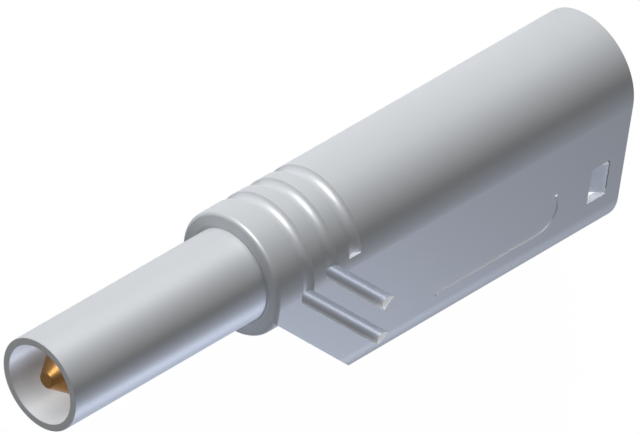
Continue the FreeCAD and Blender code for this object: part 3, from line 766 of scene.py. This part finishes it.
CAGE = {"Bars": 8, "Length": CAGE_END - CAGE_START, "Ring": 1.3, "Inner Radius": 1.5, "Sheet": 0.18,
        "Slot": 0.4, "Rise": 4.2, "Bow": 0.33, "Material": spring_metal}
cage_mesh = run_tree(cage_tree(), CAGE)
cage_middle = Matrix.Translation(((CAGE_START + CAGE_END) / 2, 0, 0))
cage_mesh.transform(PLUG_AXES @ Matrix.Scale(MM, 4) @ cage_middle)
cage = show_piece("cage", cage_mesh, spring_metal, "plug", "contact_spring")

# %% [markdown]
# The clamping screw has a real thread and a driver slot. A helix swept round a core is the usual way, but
# the joint between the two is hard to close. A thread is also a ridge that climbs one pitch in each turn, so
# the height and the angle of a point say how far out it lies. Near an end, a point may lie no farther out
# than its distance from that end allows, and that makes the chamfers.

# %% The rule of the thread


def thread_radius(tree, given, across, aside, height):
    """Give the thread's radius at a point's angle and height, narrowed at both ends."""
    climb = calculate(tree, "DIVIDE", height, given["Pitch"])
    turn = calculate(tree, "DIVIDE", calculate(tree, "ARCTAN2", aside, across), 2 * math.pi)
    phase = calculate(tree, "FRACT", calculate(tree, "SUBTRACT", climb, turn))
    below_crest = calculate(tree, "ABSOLUTE", calculate(tree, "SUBTRACT", phase, 0.5))
    dip = calculate(tree, "MULTIPLY", calculate(tree, "MULTIPLY", below_crest, 2.0), given["Depth"])
    thread = calculate(tree, "SUBTRACT", given["Radius"], dip)
    half = calculate(tree, "MULTIPLY", given["Length"], 0.5)
    from_end = calculate(tree, "SUBTRACT", half, calculate(tree, "ABSOLUTE", height))
    root = calculate(tree, "SUBTRACT", given["Radius"], given["Depth"])
    end_radius = calculate(tree, "SUBTRACT", root, given["Chamfer"])
    return calculate(tree, "MINIMUM", thread, calculate(tree, "ADD", end_radius, from_end))


# %% [markdown]
# The driver slot is sawn across the foot. A Boolean node takes a thin box away from the screw. Moving points
# could only dent the end, and the slot's walls should be as sharp as a saw leaves them.

# %% Sawing the driver slot


def saw_slot(tree, given, screw):
    """Take a thin box away from the screw's foot."""
    blade_size = add_node(tree, "ShaderNodeCombineXYZ", X=given["Slot Width"],
                          Y=calculate(tree, "MULTIPLY", given["Radius"], 3.0),
                          Z=calculate(tree, "MULTIPLY", given["Slot Depth"], 2.0))
    blade = add_node(tree, "GeometryNodeMeshCube", Size=blade_size.outputs[0])
    foot = add_node(tree, "ShaderNodeCombineXYZ", Z=calculate(tree, "MULTIPLY", given["Length"], -0.5))
    lowered = add_node(tree, "GeometryNodeTransform", Geometry=blade.outputs["Mesh"],
                       Translation=foot.outputs[0])
    slotted = add_node(tree, "GeometryNodeMeshBoolean", {"operation": "DIFFERENCE"})
    tree.links.new(screw, slotted.inputs["Mesh 1"])
    tree.links.new(lowered.outputs[0], slotted.inputs["Mesh 2"])
    return slotted.outputs["Mesh"]


# %% [markdown]
# The blank is a fine cylinder with a radius of one. Its points move out to the thread's radius, and then the
# slot is sawn. The screw's length, radius and place come from the frame.

# %% Clamping screw
THREAD_SIDES = 72
THREAD_STEPS = 90


def screw_tree():
    """Cut the thread into a blank and saw its slot, with the screw's sizes as inputs."""
    tree, given = start_tree("slotted_screw", {
        "Length": "Float", "Radius": "Float", "Pitch": "Float", "Depth": "Float", "Chamfer": "Float",
        "Slot Width": "Float", "Slot Depth": "Float", "Material": "Material"})
    blank = add_node(tree, "GeometryNodeMeshCylinder", Vertices=THREAD_SIDES, Side_Segments=THREAD_STEPS,
                     Radius=1.0, Depth=given["Length"])
    position = tree.nodes.new("GeometryNodeInputPosition").outputs[0]
    across, aside, height = add_node(tree, "ShaderNodeSeparateXYZ", Vector=position).outputs
    radius = thread_radius(tree, given, across, aside, height)
    place = add_node(tree, "ShaderNodeCombineXYZ", X=calculate(tree, "MULTIPLY", across, radius),
                     Y=calculate(tree, "MULTIPLY", aside, radius), Z=height)
    threaded = add_node(tree, "GeometryNodeSetPosition", Geometry=blank.outputs["Mesh"],
                        Position=place.outputs[0])
    finish_tree(tree, saw_slot(tree, given, threaded.outputs[0]), given["Material"])
    return tree


SCREW_FOOT, SCREW_TIP = reach("clamp_screw", TOPWARD)
SCREW_FRONT, SCREW_REAR = reach("clamp_screw", REARWARD)
SCREW = {"Length": SCREW_TIP - SCREW_FOOT, "Radius": (SCREW_REAR - SCREW_FRONT) / 2, "Pitch": 0.5,
         "Depth": 0.25, "Chamfer": 0.2, "Slot Width": 0.5, "Slot Depth": 0.7, "Material": screw_steel}
screw_place = Matrix.Translation(((SCREW_FRONT + SCREW_REAR) / 2, 0, (SCREW_FOOT + SCREW_TIP) / 2))
screw_mesh = run_tree(screw_tree(), SCREW)
screw_mesh.transform(PLUG_AXES @ Matrix.Scale(MM, 4) @ screw_place)
screw = show_piece("slotted_screw", screw_mesh, screw_steel, "screw", "clamp_screw")

# %% [markdown]
# The terminal is a milled block with a hole for the contact, one for the wire and one for the screw. Its
# holes and sides are right in the frame, so building the block anew would gain nothing. A copy of that mesh
# is welded, and a Bevel modifier breaks all its edges by the same small amount, as a file would.

# %% Terminal
EDGE = 0.09 * MM
EDGE_STEPS = 2
EDGE_ANGLE = math.radians(35)
WELD_GAP = 0.0005 * MM


def break_edges(node, width):
    """Weld a copy of a node's mesh, bevel its sharp edges and give back the plain mesh."""
    shape = bmesh.new()
    shape.from_mesh(node.data)
    bmesh.ops.remove_doubles(shape, verts=shape.verts, dist=WELD_GAP)
    welded = bpy.data.meshes.new("welded")
    shape.to_mesh(welded)
    shape.free()
    holder = bpy.data.objects.new("holder", welded)
    bpy.context.scene.collection.objects.link(holder)
    bevel = holder.modifiers.new("edges", "BEVEL")
    bevel.width = width
    bevel.segments = EDGE_STEPS
    bevel.limit_method = "ANGLE"
    bevel.angle_limit = EDGE_ANGLE
    evaluated = holder.evaluated_get(bpy.context.evaluated_depsgraph_get())
    mesh = bpy.data.meshes.new_from_object(evaluated)
    bpy.data.objects.remove(holder)
    return mesh


block_node = frame["nodes"]["terminal_block"]
terminal = show_piece("terminal", break_edges(block_node, EDGE), terminal_brass,
                      "plug", "terminal_block")

# %% [markdown]
# The photograph's light casts no shadows: the inside of the shroud and the window's edges are lit as if
# nothing stood in the way. Lamps without shadows would do that, but then the floor would lose the plug's
# shadow as well. Light linking is finer. The floor and the plug don't block the lamps that light the plug,
# and the floor's own lamp keeps its shadow. The fills and the glints from above differ between the grooved
# grip and the straight tube of the insert, so each of them has its own list of pieces.

# %% What each lamp lights


def link_light(lamp, kind, things, state):
    """Give a lamp the list of things that it lights, or of things that don't stand in its way."""
    listed = bpy.data.collections.new(f"{lamp.name}_{kind}")
    for thing in things:
        listed.objects.link(thing)
    for member in listed.collection_objects:
        member.light_linking.link_state = state
    setattr(lamp.light_linking, f"{kind}_collection", listed)


insert = [carrier, guard]
everything = [floor, housing, carrier, contact, guard, cage, screw, terminal]
LIGHTS_ONLY = {"floor_key": [floor], "grip_fill": [housing], "insert_fill": insert, "insert_glint": insert}
LIGHTS_NOT = {"key": [floor], "low_glint": [floor], "grip_glint": [floor, *insert]}
for lamp_name, things in LIGHTS_ONLY.items():
    link_light(lamps[lamp_name], "receiver", things, "INCLUDE")
for lamp_name, things in LIGHTS_NOT.items():
    link_light(lamps[lamp_name], "receiver", things, "EXCLUDE")
shadowless = [lamp for lamp_name, lamp in lamps.items() if lamp_name != "floor_key"]
for lamp in shadowless:
    link_light(lamp, "blocker", everything, "EXCLUDE")
print("lamps that cast no shadow:", [lamp.name for lamp in shadowless])
